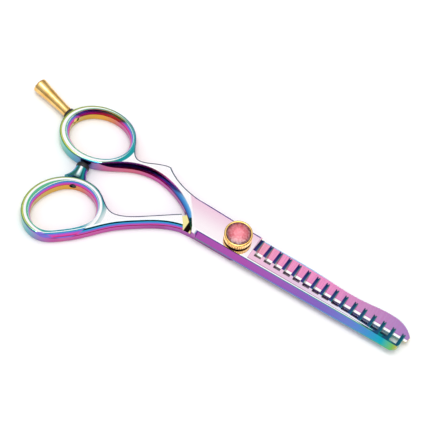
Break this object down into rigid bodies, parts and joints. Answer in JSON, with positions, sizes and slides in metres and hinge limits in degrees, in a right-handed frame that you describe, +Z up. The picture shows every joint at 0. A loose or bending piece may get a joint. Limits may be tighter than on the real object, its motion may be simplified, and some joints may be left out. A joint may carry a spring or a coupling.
{
  "type": "thinning shears",
  "caption": "Hairdressing thinning shears with a toothed blade over a plain blade, offset finger rings, a screw-in finger rest, a rubber bumper and a click tension dial.",
  "frame": {"origin": "on the pivot axis, in the plane the closed shears rest on, at the flat of the pivot screw head", "axes": "+X along the closed blades toward the tips, +Y toward the finger ring side, +Z up along the pivot axis toward the tension dial"},
  "size_m": [0.1555, 0.0541, 0.0092],
  "materials": {
    "rainbow_titanium": "mirror polished steel with an iridescent titanium coating",
    "gold_plate": "polished gold tone",
    "crystal": "rose red faceted resin, glossy",
    "black_rubber": "smooth black rubber",
    "nylon": "natural nylon",
    "bronze": "turned bearing bronze",
    "spring_steel": "hardened steel"
  },
  "bodies": {
    "plain_half": {"plain_blade": "rainbow_titanium", "pivot_screw": "gold_plate", "ride_washer": "nylon", "bumper": "black_rubber"},
    "comb_half": {"comb_blade": "rainbow_titanium", "pivot_bush": "bronze", "finger_rest": "gold_plate", "finger_rest_washer": "black_rubber"},
    "tension_plate": {"click_plate": "spring_steel", "cone_spring": "spring_steel"},
    "dial": {"tension_dial": "gold_plate", "dial_crystal": "crystal", "click_ball_left": "spring_steel", "click_ball_right": "spring_steel", "click_spring_left": "spring_steel", "click_spring_right": "spring_steel"}
  },
  "joints": [
    {"name": "blade_pivot", "type": "hinge", "parent": "plain_half", "child": "comb_half", "pos_m": [0, 0, 0.0027], "axis": [0, 0, -1], "range_deg": [0, 125]},
    {"name": "plate_slide", "type": "slide", "parent": "plain_half", "child": "tension_plate", "axis": [0, 0, -1], "range_m": [0, 0.00034], "deforming": ["cone_spring"]},
    {"name": "dial_turn", "type": "hinge", "parent": "tension_plate", "child": "dial", "pos_m": [0, 0, 0.0075], "axis": [0, 0, -1], "range_deg": [0, 250]}
  ],
  "couplings": [
    {"joint": "dial_turn", "follows": "plate_slide", "rad_per_m": 12566}
  ]
}
